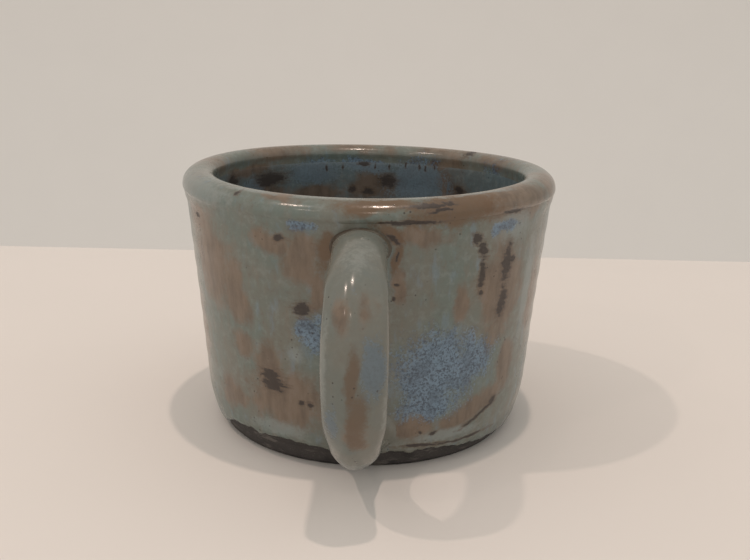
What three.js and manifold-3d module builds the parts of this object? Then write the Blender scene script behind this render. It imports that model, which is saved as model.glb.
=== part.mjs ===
// A hand-thrown stoneware mug: a thick rolled lip, a tapering wall, a bare clay foot and one pulled strap handle.
// Units are millimetres and +Z is up. The mug stands on its flat foot at z = 0, the Z axis is the pot's own axis,
// and the handle points along -Y.

import * as THREE from 'three';
import { mergeVertices } from 'three/addons/utils/BufferGeometryUtils.js';
import ManifoldModule from 'manifold-3d';

// ---------------------------------------------------------------------------------------------------------
// Driving dimensions
// ---------------------------------------------------------------------------------------------------------

// Thrown clay body
const footRadius = 39.5; // where the foot meets the table
const footChamfer = 0.8; // bevel trimmed round the foot's lower edge
const shoulderHeight = 13.7; // the foot's curve runs into the straight wall here
const shoulderRadius = 44.1; // clay radius at that height
const shoulderTuck = 2.2; // exponent of the curve below the shoulder
const wallThickness = 5.4;
const floorThickness = 6;
const innerCornerRadius = 9; // round corner between the floor and the wall

// Rolled lip
const lipCentreRadius = 46.55;
const lipCentreHeight = 67.4;
const lipHalfHeight = 2.5; // half the height of the lip's oval section, without its glaze
const lipOverhang = 0.8; // how far the roll stands proud on each side of the wall
const creaseHeight = 2.2; // the outside glaze thins over this height into the crease under the lip

// Glaze
const glazeThickness = 0.6;
const glazeLineHeight = 5; // the clay is bare below this height

// Handle, sized over its glaze
const strapWidth = 14.5;
const strapThickness = 8.6;
const fingerGap = 22; // clear distance between the wall and the strap
const handleBelowLip = 6.3; // from the crease under the lip to the strap's centre line
const handleRootHeight = 11.8; // centre line of the lower root
const gripRise = 5; // the strap reaches furthest out this far above the middle of its two ends
const handleLean = 0.6; // the strap's grip leans out by this much, towards its lower end
const topReach = 14; // how far the strap runs out before it turns down
const topTurn = 16; // height over which the top bend turns down
const lowerTurn = 17; // height over which the lower bend begins
const lowerReach = 22; // how far the lower bend runs back to the wall
const lowerSag = 3; // the lower bend hangs this far below its root
const rootDepth = 4; // the strap's ends are drawn this far into the wall before they are cut to it

// Luted joints where the strap meets the wall
const jointWidth = 1.5; // ring of slip round the strap
const jointDepth = 2.4; // how far the ring stands out from the wall
const seatGap = 0.3; // clearance between pieces that are cut to each other

// Mesh fineness
const turnSegments = 48;
const lipSegments = 8;
const cornerSegments = 4;
const strapSteps = 24;
const strapCurveSegments = 8;

// ---------------------------------------------------------------------------------------------------------
// Outlines of the thrown body, as (radius, height) points
// ---------------------------------------------------------------------------------------------------------

const lipHalfWidth = wallThickness / 2 + lipOverhang;
const lipSeam = Math.acos(wallThickness / 2 / lipHalfWidth); // the lip meets the wall this far below its waist
const wallTopHeight = lipCentreHeight - lipHalfHeight * Math.sin(lipSeam);
const wallTopRadius = lipCentreRadius + wallThickness / 2;

/** Radius of the clay's outside at a height. */
function clayRadius(height) {
  const slope = (wallTopRadius - shoulderRadius) / (wallTopHeight - shoulderHeight);
  const straight = shoulderRadius + slope * (height - shoulderHeight);
  if (height >= shoulderHeight) {
    return straight;
  }
  const straightAtTable = shoulderRadius - slope * shoulderHeight;
  return straight - (straightAtTable - footRadius) * (1 - height / shoulderHeight) ** shoulderTuck;
}

// Every outside outline turns at these heights, so that coats and clay share their faces.
const outsideHeights = [
  footChamfer,
  glazeLineHeight,
  floorThickness,
  shoulderHeight * 0.7,
  shoulderHeight,
  (shoulderHeight + wallTopHeight) / 2,
  wallTopHeight - creaseHeight,
  wallTopHeight,
].sort((a, b) => a - b);

/** Points of the outside between two heights, moved outwards by an offset. */
function outsidePoints(from, to, offset = 0) {
  return outsideHeights
    .filter((height) => height >= from && height <= to)
    .map((height) => new THREE.Vector2(clayRadius(height) + offset, height));
}

const cornerTopHeight = floorThickness + innerCornerRadius;
const cornerCentreRadius = clayRadius(cornerTopHeight) - wallThickness - innerCornerRadius;
const insideHeights = [(cornerTopHeight + wallTopHeight) / 2, wallTopHeight];

/** Points of the inside from the floor's edge up to the lip, moved inwards by an offset. */
function insidePoints(offset = 0) {
  const points = [];
  for (let step = 0; step <= cornerSegments; step += 1) {
    const angle = -Math.PI / 2 + (step / cornerSegments) * (Math.PI / 2);
    const radius = innerCornerRadius - offset;
    points.push(new THREE.Vector2(
      cornerCentreRadius + radius * Math.cos(angle),
      cornerTopHeight + radius * Math.sin(angle),
    ));
  }
  for (const height of insideHeights) {
    points.push(new THREE.Vector2(clayRadius(height) - wallThickness - offset, height));
  }
  return points;
}

/** Points round the lip from its outer crease, over the top, to its inner crease. */
function lipPoints(offset = 0) {
  const points = [];
  for (let step = 0; step <= lipSegments; step += 1) {
    const angle = -lipSeam + (step / lipSegments) * (Math.PI + 2 * lipSeam);
    points.push(new THREE.Vector2(
      lipCentreRadius + (lipHalfWidth + offset) * Math.cos(angle),
      lipCentreHeight + (lipHalfHeight + offset) * Math.sin(angle),
    ));
  }
  return points;
}

// ---------------------------------------------------------------------------------------------------------
// Solids
// ---------------------------------------------------------------------------------------------------------

const manifold = await ManifoldModule();
manifold.setup();

/** Joins a geometry's coincident corners and drops the flat triangles left at the poles. */
function closed(geometry) {
  const bare = geometry.clone();
  bare.deleteAttribute('normal');
  bare.deleteAttribute('uv');
  const merged = mergeVertices(bare, 1e-4);
  const kept = [];
  for (let corner = 0; corner < merged.index.count; corner += 3) {
    const [a, b, c] = [0, 1, 2].map((step) => merged.index.getX(corner + step));
    if (a !== b && b !== c && c !== a) {
      kept.push(a, b, c);
    }
  }
  merged.setIndex(kept);
  return merged;
}

/** Turns an outline round the Z axis. The outline runs anticlockwise and is closed here. */
function turned(outline) {
  const last = outline[outline.length - 1];
  const onAxis = outline[0].x === 0 && last.x === 0;
  const loop = onAxis ? outline : [...outline, outline[0]];
  return closed(new THREE.LatheGeometry(loop, turnSegments).rotateX(Math.PI / 2));
}

/** A manifold solid from a closed geometry. */
function solidOf(geometry) {
  return new manifold.Manifold(new manifold.Mesh({
    numProp: 3,
    vertProperties: new Float32Array(geometry.attributes.position.array),
    triVerts: new Uint32Array(geometry.index.array),
  }));
}

/** A geometry from a manifold solid. */
function geometryOf(solid) {
  const mesh = solid.getMesh();
  const geometry = new THREE.BufferGeometry();
  geometry.setAttribute('position', new THREE.BufferAttribute(mesh.vertProperties, 3));
  geometry.setIndex(new THREE.BufferAttribute(mesh.triVerts, 1));
  return geometry;
}

/** Everything inside the glazed outside grown by an offset, solid to the axis. */
function potEnvelope(offset) {
  const reach = glazeThickness + offset;
  const foot = new THREE.Vector2(clayRadius(0) + reach, -reach);
  const lip = lipPoints(reach).slice(1, lipSegments);
  const top = lip[lip.length - 1].y;
  return solidOf(turned([
    new THREE.Vector2(0, -reach),
    foot,
    ...outsidePoints(0, wallTopHeight, reach),
    ...lip,
    new THREE.Vector2(0, top),
  ]));
}

// ---------------------------------------------------------------------------------------------------------
// Thrown body and its glaze
// ---------------------------------------------------------------------------------------------------------

function makeFloorSlab() {
  return turned([
    new THREE.Vector2(0, 0),
    new THREE.Vector2(cornerCentreRadius, 0),
    new THREE.Vector2(cornerCentreRadius, floorThickness),
    new THREE.Vector2(0, floorThickness),
  ]);
}

function makeFootBand() {
  return turned([
    new THREE.Vector2(cornerCentreRadius, 0),
    new THREE.Vector2(footRadius - footChamfer, 0),
    ...outsidePoints(0, floorThickness),
    new THREE.Vector2(cornerCentreRadius, floorThickness),
  ]);
}

function makeThrownWall() {
  return turned([...outsidePoints(floorThickness, wallTopHeight), ...insidePoints().reverse()]);
}

function makeRolledLip() {
  return turned(lipPoints());
}

function makeOutsideGlaze() {
  const clay = outsidePoints(glazeLineHeight, wallTopHeight);
  const face = outsidePoints(glazeLineHeight, wallTopHeight - creaseHeight, glazeThickness);
  const crease = lipPoints(glazeThickness)[0];
  return turned([...face, crease, ...clay.reverse()]);
}

function makeLinerGlaze() {
  const face = insidePoints(glazeThickness);
  face[face.length - 1] = lipPoints(glazeThickness)[lipSegments];
  return turned([
    new THREE.Vector2(0, floorThickness),
    ...insidePoints(),
    ...face.reverse(),
    new THREE.Vector2(0, floorThickness + glazeThickness),
  ]);
}

function makeLipGlaze() {
  return turned([...lipPoints(glazeThickness), ...lipPoints().reverse()]);
}

// ---------------------------------------------------------------------------------------------------------
// Pulled handle and its luted joints
// ---------------------------------------------------------------------------------------------------------

/** Centre line of the strap, from the wall under the lip, out and down, and back to the wall above the foot. */
function strapPath() {
  const topHeight = wallTopHeight - handleBelowLip;
  const topWall = clayRadius(topHeight) + glazeThickness;
  const rootWall = clayRadius(handleRootHeight) + glazeThickness;
  const out = topWall + fingerGap + strapThickness / 2;
  const gripHeight = (topHeight + handleRootHeight) / 2 + gripRise;
  const path = new THREE.CurvePath();
  path.add(new THREE.CubicBezierCurve3(
    new THREE.Vector3(0, -(topWall - rootDepth), topHeight),
    new THREE.Vector3(0, -(topWall - rootDepth + topReach), topHeight + 1),
    new THREE.Vector3(0, -(out - handleLean), gripHeight + topTurn),
    new THREE.Vector3(0, -out, gripHeight),
  ));
  path.add(new THREE.CubicBezierCurve3(
    new THREE.Vector3(0, -out, gripHeight),
    new THREE.Vector3(0, -(out + handleLean), gripHeight - lowerTurn),
    new THREE.Vector3(0, -(rootWall - rootDepth + lowerReach), handleRootHeight - lowerSag),
    new THREE.Vector3(0, -(rootWall - rootDepth), handleRootHeight),
  ));
  return path;
}

/** The strap with its oval section grown by an offset all round. */
function strapSolid(offset) {
  const section = new THREE.Shape();
  const halfWidth = strapWidth / 2 + offset;
  const halfThickness = strapThickness / 2 + offset;
  section.absellipse(0, 0, halfWidth, halfThickness, 0, 2 * Math.PI);
  const geometry = new THREE.ExtrudeGeometry(section, {
    steps: strapSteps,
    curveSegments: strapCurveSegments,
    extrudePath: strapPath(),
  });
  return solidOf(closed(geometry));
}

const cutPot = potEnvelope(seatGap);

/** The clay core of the strap, clear of its coat by the seat gap. */
function makeHandleStrap() {
  return strapSolid(-glazeThickness - seatGap).subtract(cutPot);
}

/** The strap's coat, a sleeve that is open where the strap meets the wall. */
function makeHandleGlaze() {
  return strapSolid(0).subtract(strapSolid(-glazeThickness)).subtract(cutPot);
}

/** The two rings of slip round the strap's ends, upper one first. */
function makeHandleJoints() {
  const collar = potEnvelope(seatGap + jointDepth).subtract(cutPot);
  const rings = strapSolid(jointWidth).intersect(collar).subtract(strapSolid(seatGap));
  return rings.decompose().sort((a, b) => b.boundingBox().max[2] - a.boundingBox().max[2]);
}

// ---------------------------------------------------------------------------------------------------------
// Finishes and assembly
// ---------------------------------------------------------------------------------------------------------

const bareClay = new THREE.MeshStandardMaterial({ color: '#4a403b', roughness: 0.85, metalness: 0 });
const fullGlaze = new THREE.MeshStandardMaterial({ color: '#7f7d72', roughness: 0.28, metalness: 0 });
const linerGlaze = new THREE.MeshStandardMaterial({ color: '#66737a', roughness: 0.3, metalness: 0 });
const brokenGlaze = new THREE.MeshStandardMaterial({ color: '#8b7f70', roughness: 0.25, metalness: 0 });

const mug = new THREE.Group();

/** Adds one named piece to the mug, with a finish of its own. */
function addPiece(name, geometry, finish) {
  const mesh = new THREE.Mesh(geometry, finish.clone());
  mesh.name = name;
  mug.add(mesh);
}

const [upperJoint, lowerJoint] = makeHandleJoints();

addPiece('floor_slab', makeFloorSlab(), bareClay);
addPiece('foot_band', makeFootBand(), bareClay);
addPiece('thrown_wall', makeThrownWall(), bareClay);
addPiece('rolled_lip', makeRolledLip(), bareClay);
addPiece('outside_glaze', makeOutsideGlaze(), fullGlaze);
addPiece('liner_glaze', makeLinerGlaze(), linerGlaze);
addPiece('lip_glaze', makeLipGlaze(), brokenGlaze);
addPiece('handle_strap', geometryOf(makeHandleStrap()), bareClay);
addPiece('handle_glaze', geometryOf(makeHandleGlaze()), fullGlaze);
addPiece('upper_handle_joint', geometryOf(upperJoint), fullGlaze);
addPiece('lower_handle_joint', geometryOf(lowerJoint), fullGlaze);

export default mug;
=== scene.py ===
"""Studio scene of a hand-thrown stoneware mug with a rolled lip and a pulled strap handle.

Every piece is modelled in millimetres in the pot's own frame: the pot's axis is Z, the table is at z = 0 and
the handle points along -Y. A finished mesh is scaled to metres, so its object stays at the origin.
"""

import logging
import math
from collections.abc import Callable, Iterable, Sequence
from dataclasses import dataclass, field, replace
from enum import Enum
from random import Random

import bmesh
import bpy
from mathutils import Matrix, Vector, noise


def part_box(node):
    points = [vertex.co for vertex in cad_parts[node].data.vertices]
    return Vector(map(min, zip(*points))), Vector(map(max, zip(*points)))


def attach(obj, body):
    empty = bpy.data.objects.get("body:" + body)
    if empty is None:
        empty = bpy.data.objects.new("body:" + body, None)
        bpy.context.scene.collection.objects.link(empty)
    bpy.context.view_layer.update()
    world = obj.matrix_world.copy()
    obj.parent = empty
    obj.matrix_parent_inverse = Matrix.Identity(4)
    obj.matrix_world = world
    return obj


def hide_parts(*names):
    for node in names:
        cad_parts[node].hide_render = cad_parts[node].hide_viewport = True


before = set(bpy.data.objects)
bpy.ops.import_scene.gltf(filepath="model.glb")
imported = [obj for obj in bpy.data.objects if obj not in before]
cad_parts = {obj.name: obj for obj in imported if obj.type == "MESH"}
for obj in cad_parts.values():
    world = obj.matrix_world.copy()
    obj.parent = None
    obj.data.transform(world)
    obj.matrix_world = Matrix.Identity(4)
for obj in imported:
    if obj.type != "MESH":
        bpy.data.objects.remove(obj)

LOG = logging.getLogger("mug")
MM = 0.001
BODY = "root"
SEAM_ANGLE = math.radians(40)
WELD = 1e-4
ON_AXIS = 1e-6
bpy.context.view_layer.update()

Colour = tuple[float, float, float]
Point = tuple[float, float]
Socket = bpy.types.NodeSocket


# ---------------------------------------------------------------------------------------------------------
# Shape of the pot
# ---------------------------------------------------------------------------------------------------------


def eased(value: float) -> float:
    """Returns a smooth step from 0 to 1 as value goes from 0 to 1."""
    held = min(max(value, 0.0), 1.0)
    return held * held * (3 - 2 * held)


def node_top(node: str) -> float:
    """Returns the highest point of a CAD node, in millimetres."""
    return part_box(node)[1].z / MM


@dataclass(frozen=True)
class PotShape:
    """Outlines of the thrown pot, as (radius, height) in millimetres.

    Attributes:
        foot_radius: Clay radius where the foot meets the table.
        foot_chamfer: Bevel trimmed round the foot's lower edge.
        shoulder_height: Height at which the foot's curve runs into the wall.
        shoulder_radius: Clay radius at that height.
        shoulder_tuck: Exponent of the curve below the shoulder.
        wall_thickness: Thickness of the clay wall.
        inner_corner: Radius of the round corner between the floor and the wall.
        lip_overhang: How far the lip stands proud on each side of the wall.
        lip_half_height: Half the height of the lip's oval section.
        glaze: Thickness of every coat of glaze.
        lip_swell: Height over which the inside coat swells out to meet the lip.
        floor_thickness: Thickness of the thrown floor, from the frame.
        lip_top: Height of the glazed lip, from the frame.
        lip_edge: Outer radius of the glazed lip, from the frame.
    """

    foot_radius: float = 39.5
    foot_chamfer: float = 0.8
    shoulder_height: float = 13.7
    shoulder_radius: float = 44.1
    shoulder_tuck: float = 2.2
    wall_thickness: float = 5.4
    inner_corner: float = 9.0
    lip_overhang: float = 0.8
    lip_half_height: float = 2.5
    glaze: float = 0.6
    lip_swell: float = 12.0
    floor_thickness: float = field(default_factory=lambda: node_top("floor_slab"))
    lip_top: float = field(default_factory=lambda: node_top("lip_glaze"))
    lip_edge: float = field(default_factory=lambda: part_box("lip_glaze")[1].x / MM)

    @property
    def lip_half_width(self) -> float:
        """Half the width of the lip's oval section."""
        return self.wall_thickness / 2 + self.lip_overhang

    @property
    def lip_seam(self) -> float:
        """Angle below the lip's waist at which it meets the wall, in radians."""
        return math.acos(self.wall_thickness / 2 / self.lip_half_width)

    @property
    def lip_height(self) -> float:
        """Height of the lip's waist."""
        return self.lip_top - self.lip_half_height - self.glaze

    @property
    def lip_radius(self) -> float:
        """Distance of the lip's middle from the pot's axis."""
        return self.lip_edge - self.lip_half_width - self.glaze

    @property
    def wall_top(self) -> float:
        """Height at which the wall meets the lip."""
        return self.lip_height - self.lip_half_height * math.sin(self.lip_seam)

    @property
    def corner_top(self) -> float:
        """Height at which the inner corner runs into the wall."""
        return self.floor_thickness + self.inner_corner

    @property
    def corner_radius(self) -> float:
        """Radius of the flat part of the floor."""
        return self.clay_radius(self.corner_top) - self.wall_thickness - self.inner_corner

    def clay_radius(self, height: float) -> float:
        """Works out the radius of the clay's outside.

        Args:
            height: Height over the table, in millimetres.

        Returns:
            The radius at that height.
        """
        top_radius = self.lip_radius + self.wall_thickness / 2
        slope = (top_radius - self.shoulder_radius) / (self.wall_top - self.shoulder_height)
        straight = self.shoulder_radius + slope * (height - self.shoulder_height)
        if height >= self.shoulder_height:
            return straight
        at_table = self.shoulder_radius - slope * self.shoulder_height
        share = 1 - max(height, 0.0) / self.shoulder_height
        return straight - (at_table - self.foot_radius) * share**self.shoulder_tuck

    def outside(self, low: float, high: float, coat: float, steps: int) -> list[Point]:
        """Returns points up the outside.

        Args:
            low: Height of the first point.
            high: Height of the last point.
            coat: Distance out from the clay.
            steps: How many stretches the outline has.

        Returns:
            Points from low to high.
        """
        heights = [low + (high - low) * step / steps for step in range(steps + 1)]
        return [(self.clay_radius(height) + coat, height) for height in heights]

    def inside(self, coat: float, steps: int) -> list[Point]:
        """Returns points from the floor's flat part, round the corner and up the inner wall.

        Args:
            coat: Distance in from the clay.
            steps: How many stretches the straight wall has.

        Returns:
            Points from the floor's flat part up to the roll.
        """
        corner_steps = 12
        turn = self.inner_corner - coat
        points = []
        for step in range(corner_steps):
            angle = math.radians(-90 + 90 * step / corner_steps)
            across, up = turn * math.cos(angle), turn * math.sin(angle)
            points.append((self.corner_radius + across, self.corner_top + up))
        for step in range(steps + 1):
            height = self.corner_top + (self.wall_top - self.corner_top) * step / steps
            swell = self.lip_overhang * eased((height - self.wall_top + self.lip_swell) / self.lip_swell)
            reach = coat + (swell if coat > 0 else 0.0)
            points.append((self.clay_radius(height) - self.wall_thickness - reach, height))
        return points

    def lip(self, coat: float, steps: int) -> list[Point]:
        """Returns points round the lip from the outer crease, over the top, to the inner wall.

        Args:
            coat: Distance out from the clay.
            steps: How many stretches the arc has.

        Returns:
            Points from the outside to the inside.
        """
        points = []
        for step in range(steps + 1):
            angle = -self.lip_seam + (math.pi + 2 * self.lip_seam) * step / steps
            across = (self.lip_half_width + coat) * math.cos(angle)
            if coat > 0 and angle > math.pi:
                across = -(self.lip_half_width + coat)
            up = (self.lip_half_height + coat) * math.sin(angle)
            points.append((self.lip_radius + across, self.lip_height + up))
        return points


@dataclass(frozen=True)
class ThrowingHand:
    """What the potter's hands leave on a thrown pot: one smooth push that every piece of it shares.

    Attributes:
        out_of_round: How far the pot is pushed out of round at the lip, in millimetres.
        full_push: Height at which that push has its full strength.
        oval_turn: Angle to which its oval part is turned, in radians.
        three_sided: Strength of its three-sided part, as a share of the oval one.
        three_turn: Angle to which that part is turned.
        still_core: Radius within which every push dies away towards the axis.
        ring_depth: Depth of the throwing rings.
        ring_pitch: Height between two rings.
        ring_drift: How far the rings wind up and down once and twice a turn, in radians.
        ring_span: Heights between which there are rings.
        ring_fades: Heights over which they fade in and out.
        lump: How far slow lumps push the wall in and out.
        lump_pace: How quickly the lumps change, per millimetre.
        lump_fade: Height over which they fade in above the table.
        lip_lean: How far the top of the lip leans in.
        lean_start: Height from which it leans.
        lean_fade: Height over which the lean grows.
        lip_wave: How far the lip rises and falls round the pot.
        wave_start: Height from which the wave grows.
        wave_fade: Height over which it does.
        wave_turn: Angle to which it is turned, in radians.
    """

    out_of_round: float = 0.35
    full_push: float = 60.0
    oval_turn: float = 0.6
    three_sided: float = 0.5
    three_turn: float = 2.1
    still_core: float = 25.0
    ring_depth: float = 0.05
    ring_pitch: float = 6.3
    ring_drift: tuple[float, float] = (0.8, 0.4)
    ring_span: tuple[float, float] = (9.0, 62.0)
    ring_fades: tuple[float, float] = (12.0, 8.0)
    lump: float = 0.25
    lump_pace: float = 0.045
    lump_fade: float = 12.0
    lip_lean: float = 0.55
    lean_start: float = 66.0
    lean_fade: float = 4.5
    lip_wave: float = 0.3
    wave_start: float = 50.0
    wave_fade: float = 18.0
    wave_turn: float = -1.1

    def shaped(self, place: Vector) -> Vector:
        """Moves a point of the perfect pot to where it lies on the thrown one.

        Args:
            place: The point, in millimetres.

        Returns:
            The moved point.
        """
        radius = math.hypot(place.x, place.y)
        if radius < ON_AXIS:
            return place.copy()
        around = math.atan2(place.x, -place.y)
        oval = math.sin(2 * around + self.oval_turn)
        three = math.sin(3 * around + self.three_turn)
        push = self.out_of_round * eased(place.z / self.full_push) * (oval + self.three_sided * three)
        push += self.ring_depth * self.rings(place.z, around)
        lump = noise.noise(Vector((place.x, place.y, place.z)) * self.lump_pace)
        lean = self.lip_lean * eased((place.z - self.lean_start) / self.lean_fade)
        push += self.lump * lump * eased(place.z / self.lump_fade) - lean
        scale = 1 + push * eased(radius / self.still_core) / radius
        wave = math.sin(2 * around + self.wave_turn)
        lift = self.lip_wave * eased((place.z - self.wave_start) / self.wave_fade) * wave
        return Vector((place.x * scale, place.y * scale, place.z + lift))

    def rings(self, height: float, around: float) -> float:
        """Works out how far the throwing rings stand out.

        Args:
            height: Height over the table, in millimetres.
            around: Angle round the pot from the handle, in radians.

        Returns:
            A share of the rings' depth, from -1 to 1.
        """
        once, twice = self.ring_drift
        (low, high), (fade_in, fade_out) = self.ring_span, self.ring_fades
        phase = math.tau * height / self.ring_pitch + once * math.sin(around) + twice * math.sin(2 * around)
        return math.sin(phase) * eased((height - low) / fade_in) * eased((high - height) / fade_out)


POT = PotShape()
HAND = ThrowingHand()


# ---------------------------------------------------------------------------------------------------------
# Meshes
# ---------------------------------------------------------------------------------------------------------


def finished_object(
    name: str,
    mesh: bmesh.types.BMesh,
    shift: Callable[[Vector], Vector],
) -> bpy.types.Object:
    """Turns a mesh in millimetres into a smooth-shaded object in metres.

    Args:
        name: Name of the object.
        mesh: The mesh, which is freed.
        shift: What moves each of its points.

    Returns:
        The object, which sits at the origin.
    """
    bmesh.ops.remove_doubles(mesh, verts=mesh.verts[:], dist=WELD)
    for vertex in mesh.verts:
        vertex.co = shift(vertex.co)
    bmesh.ops.recalc_face_normals(mesh, faces=mesh.faces[:])
    bmesh.ops.scale(mesh, vec=(MM, MM, MM), verts=mesh.verts[:])
    for face in mesh.faces:
        face.smooth = True
    for edge in mesh.edges:
        edge.smooth = edge.is_boundary or edge.calc_face_angle(0.0) < SEAM_ANGLE
    data = bpy.data.meshes.new(name)
    mesh.to_mesh(data)
    mesh.free()
    made = bpy.data.objects.new(name, data)
    bpy.context.scene.collection.objects.link(made)
    return made


def turned_mesh(outline: Sequence[Point], steps: int) -> bmesh.types.BMesh:
    """Spins an outline round the pot's axis.

    Args:
        outline: Points as (radius, height). It is closed unless both its ends are on the axis.
        steps: How many stretches the full turn has.

    Returns:
        A closed mesh in millimetres.
    """
    mesh = bmesh.new()
    corners = [mesh.verts.new((0.0, -radius, height)) for radius, height in outline]
    edges = [mesh.edges.new(pair) for pair in zip(corners, corners[1:])]
    if outline[0][0] > 0 or outline[-1][0] > 0:
        edges.append(mesh.edges.new((corners[-1], corners[0])))
    bmesh.ops.spin(
        mesh,
        geom=corners + edges,
        cent=(0, 0, 0),
        axis=(0, 0, 1),
        angle=math.tau,
        steps=steps,
        use_merge=True,
        use_duplicate=False,
    )
    bmesh.ops.remove_doubles(mesh, verts=mesh.verts[:], dist=WELD)
    return mesh


def hang(piece: bpy.types.Object, nodes: Iterable[str]) -> None:
    """Fixes a piece to the mug's one body and hides the CAD nodes that it replaces.

    Args:
        piece: The finished piece.
        nodes: The CAD nodes that it replaces.
    """
    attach(piece, BODY)
    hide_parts(*nodes)
    LOG.info("%s: %d faces", piece.name, len(piece.data.polygons))


# ---------------------------------------------------------------------------------------------------------
# Blooms: the marks that the kiln leaves in the glaze
# ---------------------------------------------------------------------------------------------------------


class Kind(Enum):
    """What a bloom is made of."""

    RUST = "rust"
    AMBER = "amber"
    IRON = "iron"
    BLUE = "blue"
    MILK = "milk"


class Face(Enum):
    """Which face of the mug a bloom lies on."""

    OUTSIDE = "outside"
    INSIDE = "inside"
    CREST = "crest"
    STRAP = "strap"


@dataclass(frozen=True)
class Bloom:
    """One mark in the glaze, as a blurred ball that sits on the surface.

    Attributes:
        kind: What it is made of.
        around: Degrees round the pot from the handle, towards +X.
        height: Height of its centre, in millimetres.
        wide: Half its width.
        tall: Half its height.
        lean: Degrees that its top leans to the left, seen from outside.
        deep: Half its depth into the surface.
        face: Which face it lies on.
    """

    kind: Kind
    around: float
    height: float
    wide: float
    tall: float
    lean: float = 0.0
    deep: float = 9.0
    face: Face = Face.OUTSIDE

    def radius(self) -> float:
        """Works out how far its centre lies from the pot's axis.

        Returns:
            The distance, in millimetres.
        """
        if self.face is Face.STRAP:
            return STRAP_FACE
        if self.face is Face.CREST:
            return POT.lip_radius
        level = min(self.height, POT.wall_top)
        if self.face is Face.INSIDE:
            return POT.clay_radius(level) - POT.wall_thickness - POT.glaze
        return POT.clay_radius(level) + POT.glaze


def facing(face: Face, deep: float, *marks: tuple) -> tuple[Bloom, ...]:
    """Returns blooms on one face, each given by its kind, place and sizes."""
    return tuple(replace(Bloom(*mark), face=face, deep=deep) for mark in marks)


RUST, AMBER, IRON, BLUE, MILK = Kind.RUST, Kind.AMBER, Kind.IRON, Kind.BLUE, Kind.MILK
STRAP_FACE = 79.5
STREWN_WIDTHS = {RUST: (4.0, 8.5), IRON: (0.9, 2.6), BLUE: (3.5, 8.0), MILK: (3.0, 6.0)}
STREWN_PLACES = (0.15, 0.85)
STREWN_STRETCH = (0.8, 1.7)
STREWN_LEANS = (-35, 35)


@dataclass(frozen=True)
class Spread:
    """Blooms strewn by chance over part of a surface.

    Attributes:
        seed: Start of the chance.
        span: First and last degree round the pot.
        heights: Lowest and highest centre, in millimetres.
        counts: How many of each kind.
    """

    seed: int
    span: tuple[float, float]
    heights: tuple[float, float]
    counts: dict[Kind, int]

    def blooms(self) -> list[Bloom]:
        """Strews the blooms, each kind spaced evenly with a wobble.

        Returns:
            The blooms, on the outside.
        """
        chance = Random(self.seed)
        found = []
        for kind, count in self.counts.items():
            small, large = STREWN_WIDTHS[kind]
            for number in range(count):
                share = (number + chance.uniform(*STREWN_PLACES)) / count
                around = self.span[0] + (self.span[1] - self.span[0]) * share
                height = chance.uniform(*self.heights)
                wide = chance.uniform(small, large)
                tall = wide * chance.uniform(*STREWN_STRETCH)
                found.append(Bloom(kind, around, height, wide, tall, chance.uniform(*STREWN_LEANS)))
        return found


# ---------------------------------------------------------------------------------------------------------
# Materials
# ---------------------------------------------------------------------------------------------------------


@dataclass(frozen=True)
class Grain:
    """A fractal noise that runs from 0 to 1.

    Attributes:
        size: Size of its largest lumps, in millimetres.
        detail: How many finer layers it has.
        rough: How strong the finer layers are.
        squeeze: How far it is squeezed along X, Y and Z, or None. Less than 1 draws it out.
    """

    size: float
    detail: float = 2.0
    rough: float = 0.5
    squeeze: tuple[float, float, float] | None = None


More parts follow.
